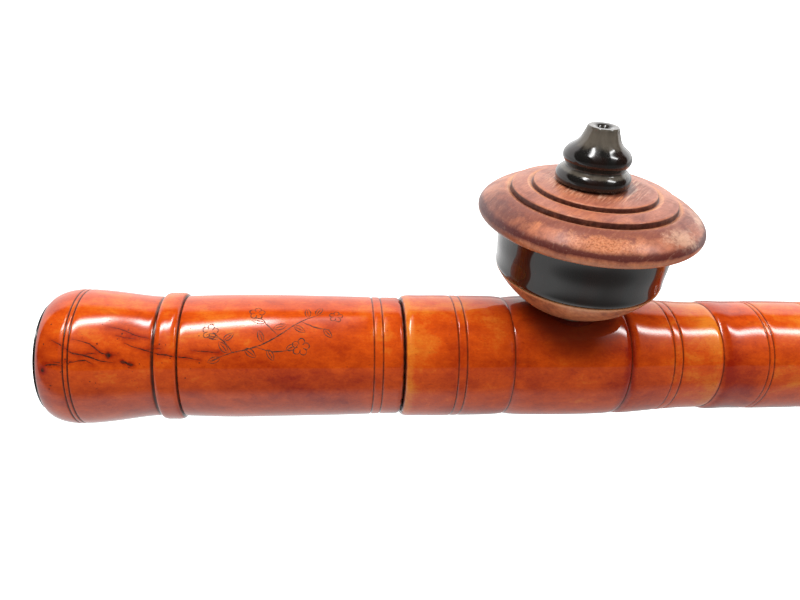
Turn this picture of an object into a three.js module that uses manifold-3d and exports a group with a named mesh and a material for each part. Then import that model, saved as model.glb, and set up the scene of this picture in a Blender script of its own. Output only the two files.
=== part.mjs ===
// Long-stemmed smoking pipe: a straight stem of turned bone sections joined on hidden tenon tubes,
// a plugged tail end, a turned wooden bowl standing in a socket on the stem, and a horn mouthpiece.
//
// Units are millimetres. +X runs along the stem towards the mouthpiece and +Z is up, on the bowl side.
// The origin is the point under the stem where a stand holds it. Stations along the stem are measured
// from the bowl's axis, and heights on the bowl are measured from the stem's axis.

import * as THREE from 'three';
import { mergeVertices } from 'three/addons/utils/BufferGeometryUtils.js';
import Module from 'manifold-3d';

const wasm = await Module();
wasm.setup();

// ---- Driving dimensions ----

const GAP = 0.3;                 // air left between pieces that touch

const STAND_STATION = 48;        // where the stand holds the stem, close to its balance point
const STAND_RADIUS = 17;         // outer radius of the stem there

const BORE_RADIUS = 12.5;        // bore of every stem section
const TENON_WALL = 3;            // wall of the tubes that join the sections
const TENON_REACH = 9;           // how far a tenon enters each section

const TAIL_FACE = -147.3;        // outer face of the tail plug
const TAIL_PLUG_RIM = 0.6;       // thickness of the plug's visible disc
const TAIL_PLUG_RADIUS = 15.7;
const TAIL_PLUG_SPIGOT = 10;     // length of the plug's spigot

const MOUTH_FACE = 291;          // outer face of the mouthpiece
const MOUTHPIECE_SHOULDER = 284.3;
const MOUTHPIECE_SPIGOT = 12;
const MOUTH_BORE_RADIUS = 8;     // narrow bore that grips the mouthpiece's spigot
const MOUTH_BORE_LENGTH = 18;
const MOUTH_HOLE_RADIUS = 3.5;

const SOCKET_HOLE_RADIUS = 9.1;  // hole through the saddle section's crest
const SOCKET_FOOT = 10;          // height of the socket bush's lower end
const SOCKET_TOP = 18;           // height of its upper end, just under the bowl's foot
const SOCKET_SADDLE_RADIUS = 18; // its upper end is dressed down to the curve of the stem
const SOCKET_BORE_RADIUS = 7.1;
const GASKET_RADIUS = 6.8;
const SPIGOT_RADIUS = 5.2;       // neck of the bowl that stands in the socket
const SPIGOT_FOOT = 9.5;
const SMOKE_HOLE_RADIUS = 2.6;

const BASE_FOOT = 18.6;          // flat foot of the bowl, just above the stem's crest
const BASE_CENTRE = 44;          // centre of the sphere that shapes the base
const BASE_RADIUS = 27.1;
const BASE_CORE_RADIUS = 21.5;   // cylinder that the horn band sits on
const BASE_TOP = 44;
const CHAMBER_RADIUS = 17.4;
const CHAMBER_CENTRE = 38;

const BAND_FOOT = 30.1;
const BAND_TOP = 44.1;
const BAND_FOOT_RADIUS = 23.2;
const BAND_TOP_RADIUS = 24.1;

const CAP_UNDERSIDE = 44.4;
const CAP_RIM_RADIUS = 30.3;
const CAP_SEAT = 55.8;           // flat on top of the cap that carries the finial
const CAP_CEILING = 50.5;
const CAP_SPIGOT_FOOT = 40.2;
const CAP_SPIGOT_WALL = 3.8;

const FINIAL_OFFSET = -1.2;      // the finial's hole is drilled a little towards the tail
const FINIAL_FOOT = 56.1;
const FINIAL_SPIGOT_FOOT = 48;
const FINIAL_SPIGOT_RADIUS = 3.1;
const FINIAL_TOP = 71;
const NEEDLE_HOLE_RADIUS = 0.9;

const STEM_SIDES = 36;
const BOWL_SIDES = 40;
const SMALL_SIDES = 28;

// Outer outlines of the stem sections as [station, radius], from the tail to the mouth.
const STEM_SECTIONS = {
  tail_section: [
    [-146.4, 16.1], [-145.4, 17.2], [-144, 18.1], [-142, 18.7], [-139, 19.1], [-130, 18.5],
    [-122.8, 17.5], [-119.2, 17.1], [-117, 17.1], [-116.3, 18.1], [-110.9, 18.2], [-110.4, 17.4],
    [-103, 17.6], [-92, 17.8], [-70, 17.6], [-50.3, 17.3], [-49.7, 16.8],
  ],
  ring_section_1: [
    [-49.4, 17.2], [-48.2, 17.9], [-42, 18.1], [-24, 18.1], [-19.4, 17.7], [-18.6, 17.2],
  ],
  saddle_section: [
    [-18.3, 17.4], [-16, 17.9], [-8, 18.2], [4, 18.3], [12, 18.1], [15.7, 17.6],
  ],
  ring_section_2: [
    [16, 17.6], [17.1, 18], [24, 17.6], [31, 17], [38, 16.6], [43.6, 16.5], [44.3, 16.2],
  ],
  ring_section_3: [
    [44.6, 16.4], [45.8, 16.9], [60, 17], [80, 16.9], [91.4, 16.7], [92.1, 16.4],
  ],
  ring_section_4: [
    [92.4, 16.3], [93.6, 16.7], [115, 16.8], [138.6, 16.6], [139.7, 16.2],
  ],
  long_section: [
    [140, 16.2], [141.2, 16.6], [180, 16.6], [204, 16.4], [204.6, 17.1], [210, 17.2],
    [210.5, 16.4], [228, 16.4], [242.4, 16.6], [243.3, 16.2],
  ],
  mouth_section: [
    [243.6, 16.3], [244.8, 16.7], [256, 16.3], [264, 16.4], [272, 17.3], [278, 17.9],
    [281.6, 17.6], [284, 16.4],
  ],
};

// ---- Materials ----

const bone = new THREE.MeshStandardMaterial({ color: 0xc8501e, roughness: 0.22, metalness: 0 });
const plainBone = new THREE.MeshStandardMaterial({ color: 0xd9c49a, roughness: 0.55, metalness: 0 });
const horn = new THREE.MeshStandardMaterial({ color: 0x1c1a19, roughness: 0.2, metalness: 0 });
const wood = new THREE.MeshStandardMaterial({ color: 0x9c5538, roughness: 0.5, metalness: 0 });
const darkWood = new THREE.MeshStandardMaterial({ color: 0x5a2a18, roughness: 0.6, metalness: 0 });
const cloth = new THREE.MeshStandardMaterial({ color: 0x8f8265, roughness: 0.95, metalness: 0 });

// ---- Turning and cutting ----

// A solid of revolution about +Z from an outline of [radius, height] points, given upwards along the
// outside. The outline runs from axis to axis, or closes on itself around a bore.
function turned(outline, sides) {
  const points = outline.map(([radius, height]) => new THREE.Vector2(radius, height));
  const first = points[0];
  if (first.x > 0) points.push(first.clone());
  const geometry = new THREE.LatheGeometry(points, sides);
  geometry.rotateX(Math.PI / 2);
  return geometry;
}

// The same solid lying along the stem: heights become stations along +X.
function turnedAlongStem(outline, sides) {
  const geometry = turned(outline, sides);
  geometry.rotateY(Math.PI / 2);
  return geometry;
}

// A tube along the stem from an outer outline of [station, radius] and inner bore steps, listed from the
// mouth end back to the tail end.
function stemTube(outer, bore, sides) {
  const outline = [...outer, ...bore].map(([station, radius]) => [radius, station]);
  return turnedAlongStem(outline, sides);
}

// Points on an arc of a circle or ellipse in the [radius, height] plane, angles in degrees from the
// horizontal.
function arc(centre, radii, from, to, steps) {
  const points = [];
  for (let i = 0; i <= steps; i += 1) {
    const angle = THREE.MathUtils.degToRad(from + (to - from) * i / steps);
    points.push([centre[0] + radii[0] * Math.cos(angle), centre[1] + radii[1] * Math.sin(angle)]);
  }
  return points;
}

function toManifold(geometry) {
  const bare = geometry.clone();
  bare.deleteAttribute('normal');
  bare.deleteAttribute('uv');
  const merged = mergeVertices(bare, 1e-4);
  const vertProperties = new Float32Array(merged.attributes.position.array);
  const triVerts = new Uint32Array(merged.index.array);
  return new wasm.Manifold(new wasm.Mesh({ numProp: 3, vertProperties, triVerts }));
}

function fromManifold(solid) {
  const mesh = solid.getMesh();
  const geometry = new THREE.BufferGeometry();
  geometry.setAttribute('position', new THREE.BufferAttribute(mesh.vertProperties, 3));
  geometry.setIndex(new THREE.BufferAttribute(mesh.triVerts, 1));
  geometry.computeVertexNormals();
  return geometry;
}

function drilled(geometry, drill) {
  return fromManifold(toManifold(geometry).subtract(toManifold(drill)));
}

// A straight vertical drill of the given radius, centred on x, between two heights.
function verticalDrill(radius, low, high, x, sides) {
  const drill = turned([[0, low], [radius, low], [radius, high], [0, high]], sides);
  drill.translate(x, 0, 0);
  return drill;
}

function piece(name, geometry, material) {
  const mesh = new THREE.Mesh(geometry, material.clone());
  mesh.name = name;
  return mesh;
}

// ---- Stem ----

function sectionEnds(name) {
  const outline = STEM_SECTIONS[name];
  return [outline[0][0], outline[outline.length - 1][0]];
}

function sectionGeometry(name) {
  const [start, end] = sectionEnds(name);
  let bore = [[end, BORE_RADIUS], [start, BORE_RADIUS]];
  if (name === 'mouth_section') {
    const step = end - MOUTH_BORE_LENGTH;
    bore = [[end, MOUTH_BORE_RADIUS], [step, MOUTH_BORE_RADIUS], [step, BORE_RADIUS], [start, BORE_RADIUS]];
  }
  return stemTube(STEM_SECTIONS[name], bore, STEM_SIDES);
}

function saddleGeometry() {
  const hole = verticalDrill(SOCKET_HOLE_RADIUS, 0, 2 * BORE_RADIUS, 0, SMALL_SIDES);
  return drilled(sectionGeometry('saddle_section'), hole);
}

// A tenon tube bridges the joint between two neighbouring sections. It stops short of the bowl's socket.
function tenonGeometry(leftSection, rightSection) {
  const joint = (sectionEnds(leftSection)[1] + sectionEnds(rightSection)[0]) / 2;
  const clearOfSocket = SOCKET_HOLE_RADIUS + 2 * GAP;
  let start = joint - TENON_REACH;
  let end = joint + TENON_REACH;
  if (start < clearOfSocket && joint > 0) start = Math.max(start, clearOfSocket);
  if (end > -clearOfSocket && joint < 0) end = Math.min(end, -clearOfSocket);
  const outer = BORE_RADIUS - GAP;
  const inner = outer - TENON_WALL;
  return stemTube([[start, outer], [end, outer]], [[end, inner], [start, inner]], STEM_SIDES);
}

function tailPlugGeometry() {
  const rimEnd = TAIL_FACE + TAIL_PLUG_RIM;
  const spigotEnd = rimEnd + TAIL_PLUG_SPIGOT;
  const spigotRadius = BORE_RADIUS - GAP;
  const outline = [
    [0, TAIL_FACE],
    [TAIL_PLUG_RADIUS - 0.4, TAIL_FACE],
    [TAIL_PLUG_RADIUS, TAIL_FACE + 0.3],
    [TAIL_PLUG_RADIUS, rimEnd],
    [spigotRadius, rimEnd],
    [spigotRadius, spigotEnd],
    [0, spigotEnd],
  ];
  return turnedAlongStem(outline, STEM_SIDES);
}

function mouthpieceGeometry() {
  const shoulder = MOUTHPIECE_SHOULDER;
  const spigotStart = shoulder - MOUTHPIECE_SPIGOT;
  const outer = [
    [spigotStart, MOUTH_BORE_RADIUS - GAP],
    [shoulder, MOUTH_BORE_RADIUS - GAP],
    [shoulder, 15.2],
    [shoulder + 1.6, 15.6],
    [shoulder + 3.6, 14.9],
    [shoulder + 5.6, 13],
    [MOUTH_FACE, 10.8],
  ];
  const bore = [[MOUTH_FACE, MOUTH_HOLE_RADIUS], [spigotStart, MOUTH_HOLE_RADIUS]];
  return stemTube(outer, bore, STEM_SIDES);
}

function buildStem() {
  const stem = new THREE.Group();
  const names = Object.keys(STEM_SECTIONS);
  for (const name of names) {
    const geometry = name === 'saddle_section' ? saddleGeometry() : sectionGeometry(name);
    stem.add(piece(name, geometry, bone));
  }
  for (let i = 0; i + 1 < names.length; i += 1) {
    stem.add(piece(`tenon_${i + 1}`, tenonGeometry(names[i], names[i + 1]), plainBone));
  }
  stem.add(piece('tail_plug', tailPlugGeometry(), horn));
  stem.add(piece('mouthpiece', mouthpieceGeometry(), horn));
  return stem;
}

// ---- Bowl ----

function socketBushGeometry() {
  const outer = SOCKET_HOLE_RADIUS - GAP;
  const reach = 2 * outer;
  const outline = [
    [SOCKET_BORE_RADIUS, SOCKET_FOOT],
    [outer, SOCKET_FOOT],
    [outer, SOCKET_TOP],
    [SOCKET_BORE_RADIUS, SOCKET_TOP],
  ];
  const ring = toManifold(turned(outline, SMALL_SIDES));
  const saddle = turnedAlongStem(
    [[0, -reach], [SOCKET_SADDLE_RADIUS, -reach], [SOCKET_SADDLE_RADIUS, reach], [0, reach]],
    2 * STEM_SIDES,
  );
  return fromManifold(ring.intersect(toManifold(saddle)));
}

function gasketGeometry() {
  const foot = SOCKET_FOOT + 0.6;
  const top = SOCKET_TOP - 0.2;
  const inner = SPIGOT_RADIUS + GAP;
  const outline = [
    [inner, foot],
    [GASKET_RADIUS - 0.4, foot],
    [GASKET_RADIUS, foot + 1],
    [GASKET_RADIUS, top],
    [inner, top],
  ];
  return turned(outline, SMALL_SIDES);
}

// The base is a hollow ball-bottomed cup. Its sphere starts at the flat foot and ends under the band.
function bowlBaseGeometry() {
  const angleAt = (height) => THREE.MathUtils.radToDeg(Math.asin((height - BASE_CENTRE) / BASE_RADIUS));
  const sphere = arc([0, BASE_CENTRE], [BASE_RADIUS, BASE_RADIUS],
    angleAt(BASE_FOOT), angleAt(BAND_FOOT - GAP), 7);
  const chamber = arc([0, CHAMBER_CENTRE], [CHAMBER_RADIUS, CHAMBER_RADIUS - 1], 0, -80, 6);
  const chamberFloor = chamber[chamber.length - 1][1];
  const outline = [
    [SMOKE_HOLE_RADIUS, SPIGOT_FOOT],
    [SPIGOT_RADIUS, SPIGOT_FOOT],
    [SPIGOT_RADIUS, BASE_FOOT],
    ...sphere,
    [BASE_CORE_RADIUS, BAND_FOOT - GAP],
    [BASE_CORE_RADIUS, BASE_TOP],
    [CHAMBER_RADIUS, BASE_TOP],
    ...chamber,
    [SMOKE_HOLE_RADIUS, chamberFloor],
  ];
  return turned(outline, BOWL_SIDES);
}

function bowlBandGeometry() {
  const inner = BASE_CORE_RADIUS + GAP;
  const outline = [
    [inner, BAND_FOOT],
    [BAND_FOOT_RADIUS, BAND_FOOT],
    [BAND_TOP_RADIUS, BAND_TOP],
    [inner, BAND_TOP],
  ];
  return turned(outline, BOWL_SIDES);
}

// The cap is a lid-like dome with a thick rounded rim and two turned steps around the finial's seat.
function bowlCapGeometry() {
  const spigotOuter = CHAMBER_RADIUS - GAP;
  const spigotInner = spigotOuter - CAP_SPIGOT_WALL;
  const rim = arc([CAP_RIM_RADIUS - 2.6, 46.8], [2.6, 2.3], -80, 25, 6);
  const outline = [
    [0, CAP_CEILING],
    [spigotInner - 2, CAP_CEILING - 1],
    [spigotInner, CAP_CEILING - 3.5],
    [spigotInner, CAP_SPIGOT_FOOT],
    [spigotOuter, CAP_SPIGOT_FOOT],
    [spigotOuter, CAP_UNDERSIDE],
    ...rim,
    [28.8, 49.2],
    [26.4, 50.9],
    [23.6, 52.1],
    [22.6, 52],
    [22, 52.3],
    [22, 53.5],
    [18, 54.2],
    [17, 53.7],
    [16.4, 53.9],
    [16.4, 55.1],
    [11, CAP_SEAT],
    [0, CAP_SEAT],
  ];
  const hole = verticalDrill(FINIAL_SPIGOT_RADIUS + GAP, CAP_SPIGOT_FOOT, FINIAL_TOP, FINIAL_OFFSET, SMALL_SIDES);
  return drilled(turned(outline, BOWL_SIDES), hole);
}

function finialGeometry() {
  const outline = [
    [NEEDLE_HOLE_RADIUS, FINIAL_SPIGOT_FOOT],
    [FINIAL_SPIGOT_RADIUS, FINIAL_SPIGOT_FOOT],
    [FINIAL_SPIGOT_RADIUS, FINIAL_FOOT],
    [9.4, FINIAL_FOOT],
    [9.9, 57.4],
    [9.6, 58.8],
    [8.3, 60],
    [7.9, 60.7],
    [8.3, 61.4],
    [8.9, 62.7],
    [8.5, 64],
    [7.3, 65.3],
    [5.8, 66.7],
    [4.9, 68.4],
    [4.3, 69.8],
    [4.1, FINIAL_TOP],
    [2.3, FINIAL_TOP],
    [NEEDLE_HOLE_RADIUS, FINIAL_TOP - 1.3],
  ];
  const geometry = turned(outline, SMALL_SIDES);
  geometry.translate(FINIAL_OFFSET, 0, 0);
  return geometry;
}

function buildBowl() {
  const bowl = new THREE.Group();
  bowl.add(piece('socket_bush', socketBushGeometry(), darkWood));
  bowl.add(piece('bowl_gasket', gasketGeometry(), cloth));
  bowl.add(piece('bowl_base', bowlBaseGeometry(), wood));
  bowl.add(piece('bowl_band', bowlBandGeometry(), horn));
  bowl.add(piece('bowl_cap', bowlCapGeometry(), wood));
  bowl.add(piece('finial', finialGeometry(), horn));
  return bowl;
}

// ---- The whole pipe ----

const pipe = new THREE.Group();
pipe.add(buildStem());
pipe.add(buildBowl());
pipe.position.set(-STAND_STATION, 0, STAND_RADIUS);

export default pipe;
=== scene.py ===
"""Looks of a long-stemmed smoking pipe: a turned stem of stained, lacquered bone sections, a turned wooden
bowl with a black horn band, and a horn finial, tail plug and mouthpiece.

Outlines are in millimetres and become metres when a mesh is made. Stations run along the stem from the
tail, heights on the bowl are measured from the stem's axis, and angles about the stem are 0 at the front
and 90 degrees on top.
"""

import math

import bpy
import numpy as np
from mathutils import Matrix, Vector


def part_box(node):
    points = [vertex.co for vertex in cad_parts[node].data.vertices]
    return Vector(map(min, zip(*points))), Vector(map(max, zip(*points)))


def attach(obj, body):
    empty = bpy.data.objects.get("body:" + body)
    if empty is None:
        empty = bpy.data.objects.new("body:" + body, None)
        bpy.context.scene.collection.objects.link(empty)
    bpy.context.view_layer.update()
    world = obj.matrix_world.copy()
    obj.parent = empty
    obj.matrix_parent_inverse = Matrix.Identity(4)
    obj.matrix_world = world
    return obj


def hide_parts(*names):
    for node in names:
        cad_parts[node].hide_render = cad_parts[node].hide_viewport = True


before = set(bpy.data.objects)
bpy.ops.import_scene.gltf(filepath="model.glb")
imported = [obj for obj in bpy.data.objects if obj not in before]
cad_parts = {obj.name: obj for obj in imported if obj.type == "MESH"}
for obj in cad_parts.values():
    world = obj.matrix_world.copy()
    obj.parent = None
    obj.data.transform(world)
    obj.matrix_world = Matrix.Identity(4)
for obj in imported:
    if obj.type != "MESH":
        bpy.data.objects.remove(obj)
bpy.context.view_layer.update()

MM = 0.001


# ---- Places taken from the frame ----

def span(node, axis):
    """Lowest and highest coordinate of a CAD node along an axis, in millimetres."""
    low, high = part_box(node)
    return low[axis] / MM, high[axis] / MM


def middle(node, axis):
    return sum(span(node, axis)) / 2


AXIS_Z = middle("ring_section_1", 2)    # height of the stem's axis
BOWL_X = middle("bowl_base", 0)         # place of the bowl's axis along the stem
FINIAL_X = middle("finial", 0)          # the finial stands a little off the bowl's axis


# ---- Outlines ----

def padded(rows):
    """Rows of four numbers, with zeros for the grime and painted shade and for the tone of clean rows."""
    return np.array([list(row) + [0] * (4 - len(row)) for row in rows], float)


def spline(rows, step):
    """Natural cubic spline through rows of numbers, by the length along the first two columns."""
    rows = padded(rows)
    lengths = np.hypot(*np.diff(rows[:, :2], axis=0).T)
    t = np.concatenate([[0], np.cumsum(lengths)])
    count = max(2, int(math.ceil(t[-1] / step)) + 1)
    at = np.linspace(0, t[-1], count)
    out = np.column_stack([np.interp(at, t, column) for column in rows.T])
    n = len(t)
    if n == 2:
        return out
    h = np.diff(t)
    system = np.zeros((n, n))
    right = np.zeros((n, 2))
    system[0, 0] = system[-1, -1] = 1
    for i in range(1, n - 1):
        system[i, i - 1:i + 2] = h[i - 1], 2 * (h[i - 1] + h[i]), h[i]
        right[i] = 6 * ((rows[i + 1] - rows[i]) / h[i] - (rows[i] - rows[i - 1]) / h[i - 1])[:2]
    bend = np.linalg.solve(system, right)
    k = np.clip(np.searchsorted(t, at, side="right") - 1, 0, n - 2)
    width = h[k][:, None]
    a = (t[k + 1] - at)[:, None] / width
    b = 1 - a
    curved = a * rows[k, :2] + b * rows[k + 1, :2]
    curved += ((a ** 3 - a) * bend[k] + (b ** 3 - b) * bend[k + 1]) * width ** 2 / 6
    out[:, :2] = curved
    return out


def outline(*strokes, step=0.5):
    """One outline from several smooth strokes. Two neighbouring strokes meet in a corner."""
    samples = []
    for stroke in strokes:
        part = spline(stroke, step).tolist()
        joined = samples and np.allclose(samples[-1][:2], part[0][:2], atol=1e-6)
        samples.extend(part[1:] if joined else part)
    return samples


def corners(*points):
    """Straight strokes from each point to the next."""
    return [list(pair) for pair in zip(points[:-1], points[1:])]


def arc(centre, radii, start, end, steps=10):
    """Rows of [radius, height] on an ellipse's arc, angles in degrees from the horizontal."""
    angles = np.radians(np.linspace(start, end, steps + 1))
    return [(centre[0] + radii[0] * math.cos(a), centre[1] + radii[1] * math.sin(a)) for a in angles]


def unevenness(seed, amount):
    """The small hand-made unevenness of a turned surface, in millimetres, for a place and an angle."""
    rng = np.random.default_rng(seed)
    turns = rng.integers(1, 7, 9)
    slopes = rng.uniform(-0.28, 0.28, 9)
    starts = rng.uniform(0, 2 * math.pi, 9)
    sizes = amount / (2 * turns)

    def at(place, angle):
        waves = [size * np.sin(turn * angle + slope * place + start)
                 for turn, slope, start, size in zip(turns, slopes, starts, sizes)]
        return sum(waves)

    return at


# ---- Meshes ----

def outward(points, faces):
    """The faces, turned so that they point out of the closed solid."""
    corners = np.array([(f[0], f[i], f[i + 1]) for f in faces for i in range(1, len(f) - 1)])
    a, b, c = points[corners[:, 0]], points[corners[:, 1]], points[corners[:, 2]]
    volume = np.sum(a * np.cross(b, c))
    return faces if volume > 0 else [tuple(reversed(f)) for f in faces]


def make_object(name, points, faces, attributes=None, crease=38):
    """A smooth-shaded mesh object, from points in millimetres."""
    mesh = bpy.data.meshes.new(name)
    mesh.from_pydata((points * MM).tolist(), [], faces)
    for key, values in (attributes or {}).items():
        layer = mesh.attributes.new(key, "FLOAT", "POINT")
        layer.data.foreach_set("value", np.asarray(values, np.float32))
    mesh.update()
    mesh.shade_smooth()
    mesh.set_sharp_from_angle(angle=math.radians(crease))
    obj = bpy.data.objects.new(name, mesh)
    bpy.context.scene.collection.objects.link(obj)
    return obj


def on_stem(station, radius, angle):
    """A point about the stem's axis, at a station. Angle 0 is the front and a quarter turn is the top."""
    x, r, a = np.broadcast_arrays(station, radius, angle)
    return np.stack([BOWL_X + x, -r * np.cos(a), AXIS_Z + r * np.sin(a)], -1)


def on_bowl(centre_x):
    """Points about a vertical axis over the stem."""
    def place(height, radius, angle):
        z, r, a = np.broadcast_arrays(height, radius, angle)
        return np.stack([centre_x + r * np.cos(a), r * np.sin(a), AXIS_Z + z], -1)
    return place


def lathe(name, rows, place, sides=144, uneven=None, stain=None, crease=38):
    """Turns an outline of [radius, place along the axis, grime and painted shade, tone] rows into one
    closed solid. The outline runs from axis to axis, or closes on itself around a bore."""
    rows = padded(rows)
    closed = rows[0, 0] > 0
    if closed and np.allclose(rows[0, :2], rows[-1, :2], atol=1e-6):
        rows = rows[:-1]
    angles = np.arange(sides) * 2 * math.pi / sides
    points, grime_and_shade, tone, stains, rings = [], [], [], [], []
    # The third column darkens the surface: grime, and painted shade in the bowl cap's grooves.
    for radius, along, dirt, shade in rows:
        first = len(points)
        count = sides if radius > 1e-6 else 1
        spokes = angles[:count]
        reach = radius + uneven(along, spokes) if uneven and count > 1 else np.full(count, radius)
        points.extend(place(along, reach, spokes))
        rings.append([first + (i if count > 1 else 0) for i in range(sides)])
        grime_and_shade.extend([dirt] * count)
        tone.extend([shade] * count)
        stains.extend(stain(along, spokes) if stain else [0] * count)
    pairs = list(zip(rings[:-1], rings[1:]))
    if closed:
        pairs.append((rings[-1], rings[0]))
    faces = []
    for low, high in pairs:
        for i in range(sides):
            j = (i + 1) % sides
            face = tuple(dict.fromkeys((low[i], low[j], high[j], high[i])))
            if len(face) > 2:
                faces.append(face)
    points = np.array(points)
    attributes = {"grime_and_shade": grime_and_shade, "tone": tone, "stain": stains}
    return make_object(name, points, outward(points, faces), attributes, crease)


def carve(obj, tool, operation):
    """Cuts a piece with a tool object, or keeps only what is inside the tool."""
    cut = obj.modifiers.new("cut", "BOOLEAN")
    cut.operation = operation
    cut.solver = "EXACT"
    cut.object = tool
    bpy.context.view_layer.update()
    mesh = bpy.data.meshes.new_from_object(obj.evaluated_get(bpy.context.evaluated_depsgraph_get()))
    obj.modifiers.clear()
    obj.data = mesh
    mesh.set_sharp_from_angle(angle=math.radians(38))
    bpy.data.objects.remove(tool)


def drill(obj, centre_x, radius, low, high):
    """Drills a straight vertical hole through a piece, between two heights."""
    rows = [(0, low), (radius, low), (radius, high), (0, high)]
    carve(obj, lathe("bit", rows, on_bowl(centre_x), 96), "DIFFERENCE")


def settle(obj, body, slot, material, *nodes):
    """Gives a finished piece its material, body and the CAD nodes that it stands for. The slot is not
    used.
    """
    obj.data.materials.clear()
    obj.data.materials.append(material)
    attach(obj, body)
    if nodes:
        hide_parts(*nodes)


# ---- Shader nodes ----

class Nodes:
    """Short forms for the nodes of one node tree."""

    def __init__(self, tree):
        self.tree = tree
        tree.nodes.clear()

    def feed(self, socket, value):
        if isinstance(value, bpy.types.NodeSocket):
            self.tree.links.new(value, socket)
        elif isinstance(value, tuple) and socket.type == "RGBA":
            socket.default_value = (*value, 1)
        else:
            socket.default_value = value

    def add(self, kind, inputs=(), **settings):
        node = self.tree.nodes.new("ShaderNode" + kind)
        for key, value in settings.items():
            setattr(node, key, value)
        for key, value in inputs:
            self.feed(node.inputs[key], value)
        return node

    def math(self, operation, a, b=0, clamp=False):
        return self.add("Math", [(0, a), (1, b)], operation=operation, use_clamp=clamp).outputs[0]

    def plus(self, a, b, clamp=False):
        return self.math("ADD", a, b, clamp)

    def minus(self, a, b, clamp=False):
        return self.math("SUBTRACT", a, b, clamp)

    def times(self, a, b, clamp=False):
        return self.math("MULTIPLY", a, b, clamp)

    def levels(self, value, low, high, to_low=0, to_high=1):
        """Maps low..high to to_low..to_high with smooth ends."""
        node = self.add("MapRange", [("Value", value), ("From Min", low), ("From Max", high),
                                     ("To Min", to_low), ("To Max", to_high)],
                        interpolation_type="SMOOTHSTEP")
        return node.outputs[0]

    def mix(self, factor, a, b):
        node = self.add("Mix", data_type="RGBA")
        self.feed(node.inputs[0], factor)
        self.feed(node.inputs[6], a)
        self.feed(node.inputs[7], b)
        return node.outputs[2]

    def between(self, value, low, high, low_soft, high_soft):
        """1 from low to high, with a soft fall on each side."""
        rise = self.levels(value, low - low_soft, low + low_soft)
        fall = self.levels(value, high - high_soft, high + high_soft, 1, 0)
        return self.times(rise, fall)

    def ramp(self, value, *stops):
        node = self.add("ValToRGB", [(0, value)])
        elements = node.color_ramp.elements
        while len(elements) < len(stops):
            elements.new(0.5)
        for element, (position, colour) in zip(elements, stops):
            element.position = position
            element.color = (*colour, 1)
        return node.outputs[0]


class Surface(Nodes):
    """A material around one Principled shader. Texture sizes are in millimetres."""

    def __init__(self, name, **values):
        self.material = bpy.data.materials.new(name)
        self.material.use_nodes = True
        super().__init__(self.material.node_tree)
        output = self.add("OutputMaterial")
        self.shader = self.add("BsdfPrincipled")
        self.tree.links.new(self.shader.outputs[0], output.inputs[0])
        for key, value in values.items():
            self.shader.inputs[key.replace("_", " ")].default_value = value

    def set(self, name, value):
        self.feed(self.shader.inputs[name], value)

    def coords(self, stretch=(1, 1, 1), turn=(0, 0, 0), shift=(0, 0, 0)):
        """Object coordinates in millimetres: shifted, turned by degrees, then stretched."""
        source = self.add("TexCoord").outputs["Object"]
        node = self.add("Mapping", [("Vector", source), ("Location", [-s * MM for s in shift]),
                                    ("Rotation", [math.radians(a) for a in turn]),
                                    ("Scale", [MM / s for s in stretch])], vector_type="TEXTURE")
        return node.outputs[0]

    def about_bowl(self):
        """Offsets from the bowl's axis, height in the frame and distance from the axis."""
        x, y, z = self.add("SeparateXYZ", [(0, self.coords(shift=(-BOWL_X, 0, 0)))]).outputs
        return x, y, z, self.math("SQRT", self.plus(self.times(x, x), self.times(y, y)))

    def attribute(self, name):
        return self.add("Attribute", attribute_name=name).outputs["Fac"]

    def noise(self, coords, size, detail=3, roughness=0.55, distortion=0):
        node = self.add("TexNoise", [("Vector", coords), ("Scale", 1 / size), ("Detail", detail),
                                     ("Roughness", roughness), ("Distortion", distortion)])
        return node.outputs["Fac"]

    def cells(self, coords, size):
        return self.add("TexVoronoi", [("Vector", coords), ("Scale", 1 / size)]).outputs["Distance"]

    def rings(self, coords, size, distortion=0):
        node = self.add("TexWave", [("Vector", coords), ("Scale", 1 / size), ("Distortion", distortion)],
                        wave_type="RINGS", rings_direction="Z")
        return node.outputs["Fac"]

    def bump(self, height, depth, strength=1, under=None):
        """A bump of a depth in millimetres, over another one."""
        node = self.add("Bump", [("Strength", strength), ("Distance", depth * MM), ("Height", height)])
        if under is not None:
            self.feed(node.inputs["Normal"], under)
        return node.outputs[0]


# ---- Materials ----

AMBER = (0.76, 0.21, 0.02)
ORANGE = (0.64, 0.078, 0.006)
DEEP_RED = (0.3, 0.016, 0.0035)
FIBRE_RED = (0.34, 0.028, 0.004)
BLOTCH_RED = (0.24, 0.016, 0.004)
PORE_RED = (0.16, 0.014, 0.004)
CRACK_BROWN = (0.06, 0.012, 0.006)
# Dark maroon around the bowl's socket: a darker stain together with the bowl's painted shadow.
BOWL_SHADOW_AND_STAIN_RED = (0.085, 0.006, 0.003)
DIRT_BROWN = (0.15, 0.024, 0.008)
STAIN_BLACK = (0.035, 0.016, 0.011)


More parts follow.
